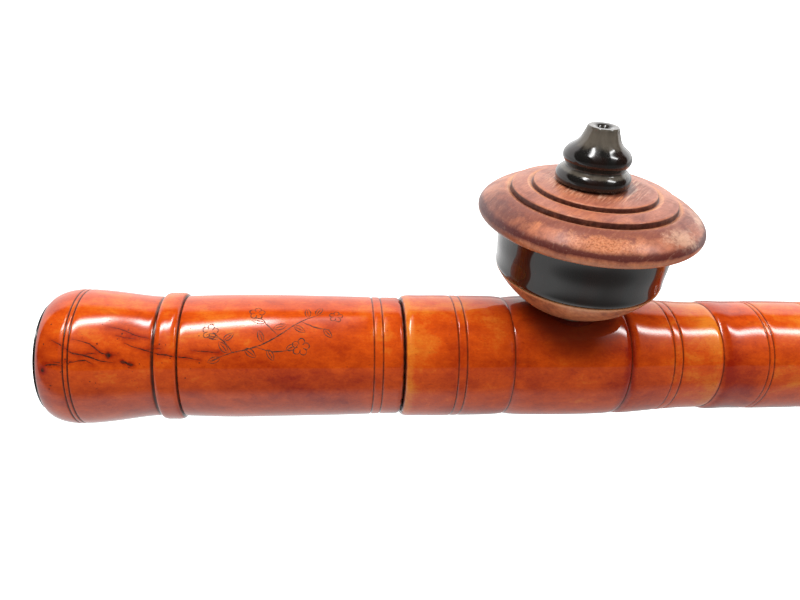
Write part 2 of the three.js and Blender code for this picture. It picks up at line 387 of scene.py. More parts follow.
def stained_bone():
    """Orange-red stain under thick lacquer: clouds, mottles, faint fibres and pores, dirt in the cuts,
    paler along the top, and dark around the bowl's socket, partly stain and partly the bowl's painted
    shadow."""
    s = Surface("stained_bone", Specular_IOR_Level=0, Coat_Weight=1, Coat_Roughness=0.035, Coat_IOR=1.5)
    tone = s.attribute("tone")
    grime_and_shade = s.attribute("grime_and_shade")
    stain = s.attribute("stain")
    clouds = s.noise(s.coords((0.6, 1, 1)), 11, 4, 0.55)
    mottle = s.noise(s.coords((0.75, 1, 1), shift=(3, 8, 1)), 3.4, 6, 0.65, 0.4)
    speckle = s.noise(s.coords((0.8, 1, 1), shift=(31, 2, 6)), 0.55, 3, 0.7)
    fibres = s.noise(s.coords((0.07, 1, 1)), 0.7, 4, 0.6)
    spread = s.plus(clouds, s.times(s.minus(mottle, 0.5), 0.7))
    spread = s.plus(spread, s.times(s.minus(speckle, 0.5), 0.35))
    shade = s.plus(s.times(tone, 0.42), s.minus(spread, 0.12))
    _, _, height, from_bowl = s.about_bowl()
    shade = s.plus(shade, s.levels(height, AXIS_Z + 9, AXIS_Z + 18, 0, -0.14))
    shade = s.plus(shade, s.times(stain, 0.4), clamp=True)
    colour = s.ramp(shade, (0.02, AMBER), (0.36, ORANGE), (0.84, DEEP_RED))
    colour = s.mix(s.levels(fibres, 0.4, 0.7, 0, 0.14), colour, FIBRE_RED)
    blotches = s.noise(s.coords((0.5, 1, 1), shift=(7, 3, 0)), 5.5, 5, 0.65, 0.8)
    colour = s.mix(s.levels(blotches, 0.56, 0.72, 0, 0.3), colour, BLOTCH_RED)
    colour = s.mix(s.levels(stain, 0.75, 1.3, 0, 0.8), colour, CRACK_BROWN)
    pores = s.noise(s.coords((0.5, 1, 1), shift=(0, 11, 5)), 0.4, 2, 0.6)
    colour = s.mix(s.levels(pores, 0.64, 0.76, 0, 0.45), colour, PORE_RED)
    # Around the bowl's socket the stem is darkened: partly a darker stain, partly the bowl's painted
    # shadow on the stem.
    above = s.levels(height, AXIS_Z + 4.5, AXIS_Z + 11)
    bowl_shadow_and_stain = s.times(s.levels(from_bowl, 11.5, 20, 0.88, 0), above)
    colour = s.mix(bowl_shadow_and_stain, colour, BOWL_SHADOW_AND_STAIN_RED)
    worn = s.levels(s.noise(s.coords(), 1.8, 3), 0.3, 0.6, 0.7, 1)
    dirt = s.times(grime_and_shade, worn, clamp=True)
    colour = s.mix(s.levels(dirt, 0.04, 0.5), colour, DIRT_BROWN)
    colour = s.mix(s.levels(dirt, 0.52, 1), colour, STAIN_BLACK)
    s.set("Base Color", colour)
    s.set("Roughness", s.levels(clouds, 0.3, 0.7, 0.4, 0.55))
    fine = s.bump(fibres, 0.012, 0.5)
    s.set("Normal", s.bump(s.noise(s.coords((0.5, 1, 1)), 3.5, 2), 0.05, 0.4, fine))
    ripple = s.bump(s.noise(s.coords((0.6, 1, 1)), 2.4, 2), 0.022, 0.5)
    s.set("Coat Normal", s.bump(speckle, 0.0035, 0.5, ripple))
    return s.material


def plain_bone():
    """Unstained bone with yellowed patches, grain along the stem and fine turning marks."""
    s = Surface("plain_bone", Roughness=0.5)
    grain = s.noise(s.coords((0.08, 1, 1)), 0.8, 4)
    patches = s.noise(s.coords(), 7, 4)
    colour = s.ramp(patches, (0.3, (0.72, 0.58, 0.38)), (0.7, (0.5, 0.33, 0.17)))
    colour = s.mix(s.levels(grain, 0.5, 0.75, 0, 0.45), colour, (0.25, 0.14, 0.07))
    s.set("Base Color", colour)
    turning = s.noise(s.coords((1, 0.02, 0.02)), 0.3, 2)
    s.set("Normal", s.bump(turning, 0.03, 0.6, s.bump(grain, 0.03, 0.5)))
    return s.material


def cap_wear_and_sheen(s, colour):
    """How hands have worn the cap: a dull purple shoulder, open-pored orange wood in front, a dark patch
    on the left and a hatch of fine tool marks around the finial; and pale spots on the right as painted
    sheen."""
    x, y, z, reach = s.about_bowl()
    bearing = s.times(s.math("ARCTAN2", x, s.times(y, -1)), 180 / math.pi)
    ragged = s.minus(s.noise(s.coords(), 4, 4, 0.7), 0.5)
    far = s.plus(reach, s.times(ragged, 9))
    round_to = s.plus(bearing, s.times(ragged, 50))

    def patch(reaches, bearings):
        return s.times(s.between(far, *reaches), s.between(round_to, *bearings))

    haze = patch((22, 26.6, 1.5, 1.3), (-100, 60, 20, 30))
    colour = s.mix(s.times(haze, 0.7), colour, (0.19, 0.05, 0.038))
    rings = s.between(reach, 13, 22, 1.5, 0.3)
    colour = s.mix(s.times(rings, 0.25), colour, (0.42, 0.15, 0.11))
    pitted = patch((26, 30.6, 1, 0.8), (-30, 8, 9, 12))
    pitted = s.times(pitted, s.levels(z, AXIS_Z + 48.2, AXIS_Z + 49.3))
    fine = s.noise(s.coords(shift=(5, 0, 0)), 0.5, 3, 0.7)
    orange = s.ramp(fine, (0.32, (0.22, 0.05, 0.02)), (0.46, (0.6, 0.19, 0.07)),
                    (0.68, (0.74, 0.33, 0.16)))
    colour = s.mix(s.times(pitted, 0.75), colour, orange)
    dark = patch((25.5, 32, 1, 1), (-96, -54, 12, 14))
    colour = s.mix(s.times(dark, 0.6), colour, (0.085, 0.032, 0.036))
    # Pale spots on the right of the rim: painted sheen, in place of the lamp's reflection in the lacquer.
    painted_sheen = s.plus(s.between(round_to, 26, 42, 7, 8), s.between(round_to, 60, 76, 6, 7))
    painted_sheen = s.times(painted_sheen, s.between(far, 25.8, 29, 1.2, 1))
    colour = s.mix(s.times(painted_sheen, 0.55), colour, (0.8, 0.52, 0.36))
    hatch = s.noise(s.coords((0.05, 1, 1), (0, 0, 52)), 0.48, 3, 0.6)
    near = s.levels(reach, 10.5, 15.5, 0.8, 0)
    colour = s.mix(s.times(s.levels(hatch, 0.5, 0.62), near), colour, (0.19, 0.06, 0.035))
    return s.mix(s.times(s.levels(hatch, 0.48, 0.38, 0, 0.8), near), colour, (0.72, 0.44, 0.3))


def turned_wood(name, light, mid, dark, seed, gloss, markings=None):
    """Oiled, turned wood: patches, slanted grain, dark vessels, pale flecks, and grooves darkened as
    painted shade.
    The tone attribute runs from pale wood at -1 to dark wood at 1; on the cap it also carries painted
    shade and light."""
    s = Surface(name, Specular_IOR_Level=0.2, Coat_Weight=0.35, Coat_Roughness=0.22)
    tone = s.attribute("tone")
    grime_and_shade = s.attribute("grime_and_shade")
    shift = (seed, 2 * seed, 0)
    along_grain = (0, 0, 40)
    patches = s.noise(s.coords((1, 1, 0.8), shift=shift), 9, 5, 0.65, 0.5)
    grain = s.noise(s.coords((0.12, 1, 0.6), along_grain, shift), 0.7, 5, 0.65)
    veins = s.noise(s.coords((0.25, 1, 0.5), along_grain, shift), 2.6, 5, 0.7, 0.8)
    speckle = s.noise(s.coords((0.5, 1, 1), along_grain, shift), 0.42, 4, 0.75)
    value = s.plus(s.times(patches, 0.75), s.times(veins, 0.45))
    value = s.plus(value, s.times(tone, 0.4))
    value = s.minus(value, 0.06, clamp=True)
    colour = s.ramp(value, (0.12, (0.74, 0.32, 0.14)), (0.36, light), (0.54, mid), (0.78, dark))
    if markings:
        colour = markings(s, colour)
    colour = s.mix(s.levels(grain, 0.45, 0.64, 0, 0.18), colour, dark)
    colour = s.mix(s.levels(grain, 0.44, 0.3, 0, 0.18), colour, (0.66, 0.34, 0.22))
    colour = s.mix(s.levels(speckle, 0.55, 0.75, 0, 0.55), colour, (0.1, 0.022, 0.012))
    colour = s.mix(s.levels(speckle, 0.42, 0.27, 0, 0.28), colour, (0.7, 0.38, 0.25))
    worn = s.levels(s.noise(s.coords(shift=shift), 1.2, 3), 0.35, 0.6, 0.75, 1)
    # The cap's groove floors and risers are darkened here: painted shade.
    colour = s.mix(s.times(grime_and_shade, worn, clamp=True), colour, (0.05, 0.01, 0.004))
    s.set("Base Color", colour)
    s.set("Roughness", s.levels(patches, 0.3, 0.7, gloss, gloss + 0.18))
    turning = s.rings(s.coords(shift=(-BOWL_X, 0, 0)), 1.3, 0.4)
    marks = s.bump(turning, 0.012, 0.6, s.bump(grain, 0.05, 0.8))
    s.set("Normal", s.bump(speckle, 0.06, 0.7, marks))
    s.set("Coat Normal", s.bump(speckle, 0.035, 0.7))
    return s.material


def horn(name, streak_axis):
    """Polished black horn. The tone attribute brings out grey-beige streaks along one axis."""
    s = Surface(name, Specular_IOR_Level=0.08, Coat_Weight=1, Coat_Roughness=0.03)
    tone = s.attribute("tone")
    grime_and_shade = s.attribute("grime_and_shade")
    stretch = [1, 1, 1]
    stretch[streak_axis] = 0.12
    streaks = s.noise(s.coords(tuple(stretch)), 2.2, 4, 0.6)
    brown = s.noise(s.coords(tuple(stretch), shift=(9, 4, 2)), 6, 3)
    colour = s.ramp(brown, (0.42, (0.012, 0.011, 0.01)), (0.64, (0.016, 0.007, 0.005)))
    amount = s.plus(tone, s.times(s.minus(streaks, 0.5), 0.9))
    colour = s.mix(s.levels(amount, 0.2, 0.95, 0, 0.9), colour, (0.16, 0.135, 0.105))
    colour = s.mix(grime_and_shade, colour, (0.02, 0.017, 0.014))
    s.set("Base Color", colour)
    s.set("Roughness", s.levels(streaks, 0.3, 0.7, 0.2, 0.32))
    s.set("Normal", s.bump(s.noise(s.coords(), 0.5, 3), 0.006, 0.5))
    return s.material


def wound_cloth():
    """Soiled cotton thread, wound round and round."""
    s = Surface("gasket_cloth", Roughness=0.95, Sheen_Weight=0.3)
    weave = s.cells(s.coords(), 0.45)
    soiled = s.noise(s.coords(), 3, 3)
    colour = s.ramp(soiled, (0.3, (0.36, 0.29, 0.19)), (0.7, (0.16, 0.11, 0.07)))
    colour = s.mix(s.levels(weave, 0.2, 0.6, 0.5, 0), colour, (0.05, 0.035, 0.025))
    s.set("Base Color", colour)
    s.set("Normal", s.bump(weave, 0.12, 0.9))
    return s.material


def line_filler(name, dark, worn, size):
    """What fills a crack or an etched line: dark dirt, worn back to the stain in places."""
    s = Surface(name, Roughness=0.6, Specular_IOR_Level=0.1, Coat_Weight=0.15, Coat_Roughness=0.2)
    markings = s.noise(s.coords(), size, 3)
    s.set("Base Color", s.ramp(markings, (0.38, dark), (0.7, worn)))
    s.set("Normal", s.bump(markings, 0.03, 0.5))
    return s.material


BONE = stained_bone()
PLAIN_BONE = plain_bone()
CAP_WOOD = turned_wood(
    "cap_wood", (0.66, 0.225, 0.095), (0.46, 0.145, 0.075), (0.13, 0.026, 0.018), 3, 0.3, cap_wear_and_sheen)
BASE_WOOD = turned_wood(
    "base_wood", (0.78, 0.32, 0.14), (0.58, 0.185, 0.07), (0.17, 0.04, 0.022), 21, 0.42)
# The bush's wood gets the dark maroon of the bowl's shadow on the stem: painted shade.
BUSH_SHADE_WOOD = turned_wood(
    "bush_wood_shadow_maroon", (0.22, 0.02, 0.008), (0.16, 0.012, 0.005), (0.08, 0.006, 0.003), 37, 0.45)
BOWL_HORN = horn("bowl_horn", 2)
STEM_HORN = horn("stem_horn", 0)
CLOTH = wound_cloth()
CRACK_DIRT = line_filler("crack_dirt", (0.03, 0.011, 0.007), (0.16, 0.022, 0.007), 1.1)
ETCHED_INK = line_filler("etched_ink", (0.05, 0.03, 0.022), (0.2, 0.045, 0.016), 1.5)


# ---- Stem sections ----

BORE_RADIUS = 12.5
SOCKET_RADIUS = 9.1     # the hole through the saddle
SADDLE_CURVE = 17.9     # radius that the bush's top is dressed to
CUT_DEPTH = 0.28        # an incised ring
CUT_SHOULDER = 0.045    # the surface beside a cut is worn down by this much
SHOULDER_WIDTH = 0.9
RING_STEP = 0.9
CHIP_DEPTH = 0.6        # chips along the two edges of the open joint
CHIP_REACH = 0.55
OPEN_JOINT = -49.5      # station of the one joint of the stem that isn't glued

# Each section has strokes of (station, radius), with stations from the bowl's axis, then its incised rings
# as (station, width, dirt), then its tones as (station, tone), where -1 is amber and 1 is deep red.
SECTIONS = {
    "tail_section": (
        [
            [(-146.4, 16.1), (-146, 16.7), (-145.3, 17.3), (-144, 18), (-142, 18.65), (-139, 19.02),
             (-134, 18.85), (-129, 18.35), (-124, 17.7), (-119.7, 17.22), (-117.1, 17.05)],
            [(-117.1, 17.05), (-116.6, 16.95)],
            [(-116.6, 16.95), (-116.2, 17.75), (-115.5, 18.1), (-113.6, 18.2), (-111.5, 18.15),
             (-110.9, 17.9), (-110.5, 17.3)],
            [(-110.5, 17.3), (-107, 17.45), (-100, 17.7), (-90, 17.78), (-72, 17.65), (-58, 17.4),
             (-51.4, 17.3), (-50.4, 17.2), (-49.7, 16.8)],
        ],
        [(-138.5, 0.2, 0.9), (-137.3, 0.2, 0.9), (-116.75, 0.5, 0.9), (-110.5, 0.26, 0.9),
         (-58, 0.24, 0.55), (-55.5, 0.24, 0.55)],
        [(-146.4, 0.8), (-144.5, 0.5), (-141, 0.25), (-134, 0.05), (-126, 0.2), (-118, 0.45),
         (-114, 0.1), (-108, 0.15), (-95, 0.3), (-78, 0.45), (-62, 0.4), (-55, 0.1), (-49.7, 0.7)],
    ),
    "ring_section_1": (
        [[(-49.4, 16.9), (-49, 17.5), (-48.2, 17.9), (-46, 18.05), (-41, 18.08), (-29, 18.06),
          (-22.5, 17.98), (-20, 17.82), (-18.9, 17.62), (-18.46, 17.4)]],
        [(-34.6, 0.24, 0.55), (-32.2, 0.25, 0.55)],
        [(-49.4, -0.45), (-47.8, -0.4), (-46.6, -0.02), (-35, 0.18), (-25, 0.25), (-20, 0.4),
         (-18.5, 0.9)],
    ),
    "saddle_section": (
        [[(-18.44, 17.42), (-18.1, 17.56), (-17.2, 17.76), (-15, 17.97), (-8, 18.2), (4, 18.26),
          (12, 18.08), (14.4, 17.9), (15.4, 17.6), (15.84, 17.25)]],
        [],
        [(-18.4, 0.7), (-16, 0.45), (-2, 0.4), (6, 0.2), (13, 0.2), (15.7, 1)],
    ),
    "ring_section_2": (
        [[(15.86, 17.2), (16.3, 17.6), (17, 17.85), (18.5, 17.92), (24, 17.56), (30, 17.1),
          (36, 16.72), (42, 16.53), (43.7, 16.45), (44.44, 16.3)]],
        [(29, 0.24, 0.5), (31.6, 0.25, 0.55)],
        [(16, 0.9), (17.6, 0.2), (26, 0.05), (34, -0.08), (41, -0.36), (43.6, -0.45),
         (44.4, 0.1)],
    ),
    "ring_section_3": (
        [[(44.46, 16.35), (44.9, 16.6), (45.7, 16.85), (50, 16.95), (60, 16.98), (78, 16.9),
          (90.4, 16.75), (91.6, 16.62), (92.24, 16.35)]],
        [(58.6, 0.24, 0.5), (60.1, 0.24, 0.55), (76.8, 0.24, 0.5), (78.3, 0.24, 0.55)],
        [(44.5, 0.4), (46, 0.95), (51, 0.65), (59, 0.1), (78, 0), (91, 0.2), (92.2, 0.6)],
    ),
    "ring_section_4": (
        [[(92.26, 16.3), (92.8, 16.48), (93.6, 16.7), (104, 16.78), (126, 16.7), (138, 16.55),
          (139.2, 16.42), (139.84, 16.2)]],
        [(102.4, 0.24, 0.5), (104.8, 0.24, 0.55), (127, 0.24, 0.55), (129.4, 0.24, 0.5)],
        [(92.3, 0.5), (94.4, -0.3), (106, 0), (126, 0.1), (139.8, 0.5)],
    ),
    "long_section": (
        [
            [(139.86, 16.2), (140.4, 16.38), (141.3, 16.6), (160, 16.63), (184, 16.55), (200, 16.42),
             (204.2, 16.35)],
            [(204.2, 16.35), (204.6, 16.95), (205.3, 17.1), (207.2, 17.15), (209.2, 17.1),
             (209.8, 16.9), (210.2, 16.35)],
            [(210.2, 16.35), (220, 16.4), (232, 16.5), (241.8, 16.55), (242.9, 16.42), (243.44, 16.2)],
        ],
        [(145.6, 0.24, 0.55), (148.1, 0.24, 0.5), (204.1, 0.4, 0.9), (210.3, 0.28, 0.9),
         (234, 0.24, 0.55), (236.4, 0.24, 0.5)],
        [(139.9, 0.5), (143, 0), (200, 0.05), (204, 0.3), (214, 0), (240, -0.1), (243.4, 0.5)],
    ),
    "mouth_section": (
        [[(243.46, 16.25), (244, 16.45), (244.9, 16.68), (250, 16.45), (256, 16.3), (264, 16.4),
          (270, 16.95), (275, 17.6), (279, 17.85), (282, 17.5), (283.4, 17), (284, 16.4)]],
        [(272.4, 0.2, 0.7), (273.7, 0.2, 0.7)],
        [(243.5, 0.5), (246, 0), (264, 0.05), (274, -0.1), (280, -0.3), (284, 0.2)],
    ),
}
SECTION_UNEVENNESS = 0.03


class StemSection:
    """One turned section: its radius, grime and tone at any station."""

    def __init__(self, name, shape, seed):
        strokes, self.cuts, tones = shape
        self.name = name
        dense = np.array(outline(*strokes, step=0.05))
        self.stations = dense[:, 0]
        self.radii = dense[:, 1]
        self.start = self.stations[0]
        self.end = self.stations[-1]
        self.tones = np.array(tones, float).T
        self.waves = unevenness(seed, SECTION_UNEVENNESS)
        rng = np.random.default_rng(seed + 50)
        self.chip_turns = rng.integers(9, 48, 9)
        self.chip_starts = rng.uniform(0, 2 * math.pi, (2, 9))

    def uneven(self, station, angle):
        """How far the surface stands off its outline: slow waves, and chips along the open joint."""
        off = self.waves(station, angle)
        for end, starts in zip((self.start, self.end), self.chip_starts):
            if abs(end - OPEN_JOINT) > 1:
                continue
            near = np.exp(-((station - end) / CHIP_REACH) ** 2)
            ripple = sum(np.sin(t * angle + a) for t, a in zip(self.chip_turns, starts)) / 3
            off = off - CHIP_DEPTH * near * np.clip(ripple - 0.45, 0, 1)
        return off

    def radius(self, station):
        radius = np.interp(station, self.stations, self.radii)
        for cut, width, _ in self.cuts:
            radius = radius - CUT_DEPTH * np.exp(-((station - cut) / width) ** 2)
            radius = radius - CUT_SHOULDER * np.exp(-((station - cut) / SHOULDER_WIDTH) ** 2)
        return radius

    def grime_and_shade(self, station):
        from_end = min(station - self.start, self.end - station)
        in_cuts = [dirt * math.exp(-((station - cut) / (0.9 * width)) ** 2)
                   for cut, width, dirt in self.cuts]
        at_open_end = self.name == "tail_section" or station < OPEN_JOINT + 1
        dirt, width = (0.9, 0.35) if at_open_end else (0.45, 0.25)
        return max(in_cuts + [dirt * math.exp(-(from_end / width) ** 2)])

    def rings(self):
        """Stations of the rings of vertices: even ones, and close ones at the ends, cuts and corners."""
        marks = list(np.arange(self.start, self.end, RING_STEP)) + [self.end]
        for end in (self.start, self.end):
            marks += list(end + np.arange(-12, 13) * 0.12)
        for cut, width, _ in self.cuts:
            marks += list(cut + np.linspace(-2.6, 2.6, 17) * width)
            marks += list(cut + np.linspace(-2, 2, 11) * SHOULDER_WIDTH)
        slopes = np.abs(np.gradient(self.radii, self.stations))
        marks += list(self.stations[slopes > 0.25][::2])
        kept = []
        for mark in sorted(marks):
            if self.start <= mark <= self.end and (not kept or mark - kept[-1] > 0.03):
                kept.append(float(mark))
        return kept

    def rows(self):
        return [(float(self.radius(s)), s, self.grime_and_shade(s), float(np.interp(s, *self.tones)))
                for s in self.rings()]

    def point(self, station, angle, lift=0):
        """A point on the surface at an angle in degrees, or a little above it."""
        a = np.radians(angle)
        return on_stem(station, self.radius(station) + self.uneven(station, a) + lift, a)


def bore_rows(start, end, radius=BORE_RADIUS):
    """Rows along a dark bore, from the mouth end back to the tail end."""
    return [(radius, x, 0.8, 0.6) for x in np.linspace(end, start, 5)]


# Cracks in the tail section: (station, angle) routes, and the width of each at its middle. Knots are
# (station, angle, radius).
CRACKS = [
    ([(-142, 48), (-138.6, 42), (-136, 37), (-133, 35), (-129.5, 31), (-126, 29)], 0.42),
    ([(-136.6, 48), (-131.6, 43), (-129, 37), (-125, 35.5)], 0.34),
    ([(-141, 30), (-136, 30), (-132.6, 30.6), (-131, 27.5)], 0.34),
    ([(-128, 59), (-123.4, 56), (-121.4, 53), (-117, 50)], 0.28),
    ([(-124, 46), (-122, 43), (-119, 40), (-115.6, 36.6), (-110.5, 34), (-104, 30.5)], 0.45),
    ([(-124.7, 30), (-123, 28.4), (-121.6, 26)], 0.8),
    ([(-106.7, 39), (-103, 38), (-99, 37.6)], 0.26),
    ([(-118.6, 39.5), (-116.6, 41), (-114.1, 40.2)], 0.26),
    ([(-133.7, 35.2), (-131.7, 36.4), (-129.9, 36)], 0.25),
    ([(-143.2, 27), (-141, 28), (-138.4, 27.2)], 0.5),
    ([(-126.2, 52), (-124, 50.5), (-121, 49.4)], 0.22),
]
KNOTS = [(-127.4, 35, 0.5), (-121.8, 27, 0.35), (-123.9, 29.5, 0.3), (-143.6, 23, 0.35)]
STAIN_REACH = 0.8       # how far the dark stain spreads on each side of a crack
DEGREE_MM = 18 * math.pi / 180


def crack_stain(station, angles):
    """Dark staining beside the cracks, at a station and angles about the stem."""
    samples = [np.array(spline([(s, a * DEGREE_MM) for s, a in route], 0.5))[:, :2] for route, _ in CRACKS]
    samples = np.concatenate(samples)
    near = samples[np.abs(samples[:, 0] - station) < 3 * STAIN_REACH]
    around = np.degrees(angles)[:, None] * DEGREE_MM
    stain = np.zeros(len(angles))
    if len(near):
        gap = np.min(np.hypot(around - near[:, 1], station - near[:, 0]), axis=1)
        stain = 0.7 * np.exp(-(gap / STAIN_REACH) ** 2)
    for knot, angle, size in KNOTS:
        gap = np.hypot(around[:, 0] - angle * DEGREE_MM, station - knot)
        stain = np.maximum(stain, 1.6 * np.exp(-(gap / (2.4 * size)) ** 2))
    return stain


def build_sections():
    built = {}
    for index, (name, shape) in enumerate(SECTIONS.items()):
        section = StemSection(name, shape, 100 + index)
        start, end = section.start, section.end
        if name == "mouth_section":
            step = end - 18
            bore = bore_rows(step, end, 8) + bore_rows(start, step)
        else:
            bore = bore_rows(start, end)
        stain = crack_stain if name == "tail_section" else None
        piece = lathe(name + "_turned", section.rows() + bore, on_stem, 176, section.uneven, stain)
        if name == "saddle_section":
            drill(piece, BOWL_X, SOCKET_RADIUS, 0, 30)
        settle(piece, "tail" if name == "tail_section" else "stem", "stained_bone", BONE, name)
        built[name] = section
    return built


def build_tenons():
    """The unstained tubes that join the sections."""
    for number in range(1, 8):
        node = f"tenon_{number}"
        start, end = (x - BOWL_X for x in span(node, 0))
        outer, inner, soft = 12.2, 9.2, 0.4
        rows = outline(*corners((inner, start), (outer - soft, start), (outer, start + soft),
                                (outer, end - soft), (outer - soft, end), (inner, end), (inner, start)),
                       step=1.5)
        settle(lathe(node + "_tube", rows, on_stem, 120), "stem", "plain_bone", PLAIN_BONE, node)


def build_end_piece(node, body, tone, *strokes):
    """A turned horn piece at an end of the stem, drawn as (radius, distance from its tail side)."""
    foot = span(node, 0)[0] - BOWL_X
    rows = [(row[0], row[1] + foot, 0, tone) for row in outline(*strokes)]
    settle(lathe(node + "_turned", rows, on_stem), body, "black_horn", STEM_HORN, node)


def build_tail_plug():
    build_end_piece(
        "tail_plug", "tail", 0.05,
        [(0, 0.2), (8, 0.12), (13, 0)],
        [(13, 0), (15, 0.02), (15.5, 0.12), (15.68, 0.35), (15.6, 0.6)],
        *corners((15.6, 0.6), (12.2, 0.6), (12.2, 10.6), (0, 10.6)),
    )


def build_mouthpiece():
    build_end_piece(
        "mouthpiece", "mouthpiece", 0.12,
        *corners((3.5, 0), (7.7, 0), (7.7, 12), (15, 12)),
        [(15, 12), (15.4, 12.5), (15.6, 13.6), (15.4, 14.9), (14.7, 16), (13, 17.5), (11.6, 18.4),
         (10.6, 18.66)],
        [(10.6, 18.66), (7, 18.67), (4.6, 18.5), (3.8, 18), (3.5, 17)],
        [(3.5, 17), (3.5, 0)],
    )


# ---- Lines let into the tail section ----

LINE_LIFT = 0.015       # how far a filled line stands above the lacquer
LINE_DEPTH = 0.25
LINE_STEP = 0.4


def sliver(section, route, width, rng, wander):
    """A thin closed solid let into the surface along a route of (station, angle) points. It tapers to
    nothing at both ends, and its width and course wander a little."""
    route = [(s, a * DEGREE_MM) for s, a in route]
    rows = spline(route, LINE_STEP)[:, :2]
    if len(rows) < 5:
        rows = spline(route, LINE_STEP / 3)[:, :2]
    count = len(rows)
    t = np.linspace(0, 1, count)
    tangent = np.gradient(rows, axis=0)
    tangent /= np.linalg.norm(tangent, axis=1)[:, None] + 1e-9
    across = np.column_stack([-tangent[:, 1], tangent[:, 0]])
    drift = np.convolve(rng.normal(0, 1, count + 2), [0.25, 0.5, 0.25], "valid")
    rows = rows + across * (wander * drift * np.sin(math.pi * t) ** 0.5)[:, None]
    half = 0.42 * width * np.clip(np.sin(math.pi * t), 0, 1) ** 0.6 * rng.uniform(0.5, 1.3, count)
    left = rows + across * half[:, None]
    right = rows - across * half[:, None]

    def lifted(places, height):
        return section.point(places[:, 0], places[:, 1] / DEGREE_MM, height)

    edges = [lifted(left, 0), lifted(rows, LINE_LIFT), lifted(right, 0), lifted(rows, -LINE_DEPTH)]
    inner = range(1, count - 1)
    points = [lifted(rows[:1], 0)[0]]
    points += [edge[i] for i in inner for edge in edges]
    points.append(lifted(rows[-1:], 0)[0])
    last = len(points) - 1
    faces = []
    for k in range(4):
        n = (k + 1) % 4
        faces.append((0, 1 + k, 1 + n))
        faces.append((last, last - 4 + n, last - 4 + k))
        for ring in range(count - 3):
            base = 1 + 4 * ring
            faces.append((base + k, base + 4 + k, base + 4 + n, base + n))
    points = np.array(points)
    return points, outward(points, faces)


def spot(section, station, angle, radius, rng):
    """A round, flat lens of dirt let into the surface."""
    count = 14
    around = np.arange(count) * 2 * math.pi / count
    reach = radius * rng.uniform(0.75, 1.15, count)
    rim = section.point(station + reach * np.cos(around), angle + reach * np.sin(around) / DEGREE_MM, 0)
    top = section.point(station, angle, 0.02)
    foot = section.point(station, angle, -0.3)
    points = np.vstack([rim, top, foot])
    faces = [(i, (i + 1) % count, count) for i in range(count)]
    faces += [((i + 1) % count, i, count + 1) for i in range(count)]
    return points, outward(points, faces)


def lines_object(name, section, lines, seed, wander, spots=(), speck_count=0):
    """One object of many slivers, one for each (route, width) pair, of round spots and of small pits."""
    rng = np.random.default_rng(seed)
    solids = [sliver(section, route, width, rng, wander) for route, width in lines]
    specks = [(rng.uniform(-144, -104), rng.uniform(5, 72), rng.uniform(0.08, 0.24))
              for _ in range(speck_count)]
    solids += [spot(section, *place, rng) for place in [*spots, *specks]]
    points, faces = [], []
    for more_points, more_faces in solids:
        first = sum(len(p) for p in points)
        points.append(more_points)
        faces += [tuple(first + i for i in face) for face in more_faces]
    return make_object(name, np.concatenate(points), faces, crease=60)


def turned_route(places, centre, angle, scale=1):
    """Routes of a small drawing in millimetres, turned and put at a (station, angle) place."""
    a = math.radians(angle)
    moved = []
    for x, y in places:
        along = scale * (x * math.cos(a) - y * math.sin(a))
        around = scale * (x * math.sin(a) + y * math.cos(a))
        moved.append((centre[0] + along, centre[1] + around / DEGREE_MM))
    return moved


def leaf_lines(centre, angle, scale=1):
    """A pointed leaf with its midrib."""
    upper = [(0, 0), (1.2, 0.9), (2.8, 1), (4.6, 0.1)]
    lower = [(0, 0), (1.3, -0.7), (2.9, -0.8), (4.6, 0.1)]
    rib = [(0.4, 0), (2.2, 0.1), (3.9, 0.1)]
    return [(turned_route(part, centre, angle, scale), 0.32) for part in (upper, lower, rib)]


def blossom_lines(centre, scale=1):
    """A round blossom of five petals."""
    petal = [(0.5, -0.2), (1.6, -0.9), (2.4, 0), (1.6, 0.9), (0.5, 0.2)]
    return [(turned_route(petal, centre, 72 * k + 10, scale), 0.34) for k in range(5)]


def sprig_lines():
    """A plain sprig of the maker's own: a bent twig, four side twigs, leaves and four blossoms."""
    lines = [
        ([(-102, 30), (-96, 37), (-90, 42), (-84, 52), (-78, 66), (-71, 76)], 0.44),
        ([(-96, 37), (-98, 46), (-100.5, 52)], 0.38),
        ([(-90, 42), (-85, 38), (-80, 40)], 0.38),
        ([(-84, 52), (-87, 62), (-89, 70)], 0.38),
        ([(-78, 66), (-74, 60), (-70, 58)], 0.38),
    ]
    for x, turn, angle, scale in (
        (-99, 33, 200, 0.8), (-97, 37, 130, 0.9), (-99.5, 50, 165, 0.8), (-98.5, 47, 40, 0.8),
        (-93, 41, -40, 0.9), (-87, 40, -60, 0.8), (-82, 39, 25, 0.8), (-88, 46, 110, 0.8),
        (-85.5, 58, 20, 0.9), (-87.5, 65, 165, 0.9), (-80, 61, -30, 0.8), (-76, 70, 95, 0.8),
        (-72, 59, -50, 0.8), (-74, 73, 60, 0.8),
    ):
        lines += leaf_lines((x, turn), angle, scale)
    for place, scale in (((-102, 56), 0.9), ((-78, 42), 1), ((-90, 75), 0.9), ((-68.5, 72), 0.8)):
        lines += blossom_lines(place, scale)
    return lines


def build_tail_lines(section):
    cracks = lines_object("tail_cracks", section, CRACKS, 5, 0.09, KNOTS, 46)
    settle(cracks, "tail", "stained_bone", CRACK_DIRT)
    sprig = lines_object("tail_sprig", section, sprig_lines(), 6, 0.05)
    settle(sprig, "tail", "stained_bone", ETCHED_INK)


# ---- Bowl, with heights from the stem's axis ----

NECK_RADIUS = 5.2
SEAT = 44               # where the cap rests on the cup
FINIAL_PIN = 3.4        # radius of the hole for the finial's pin


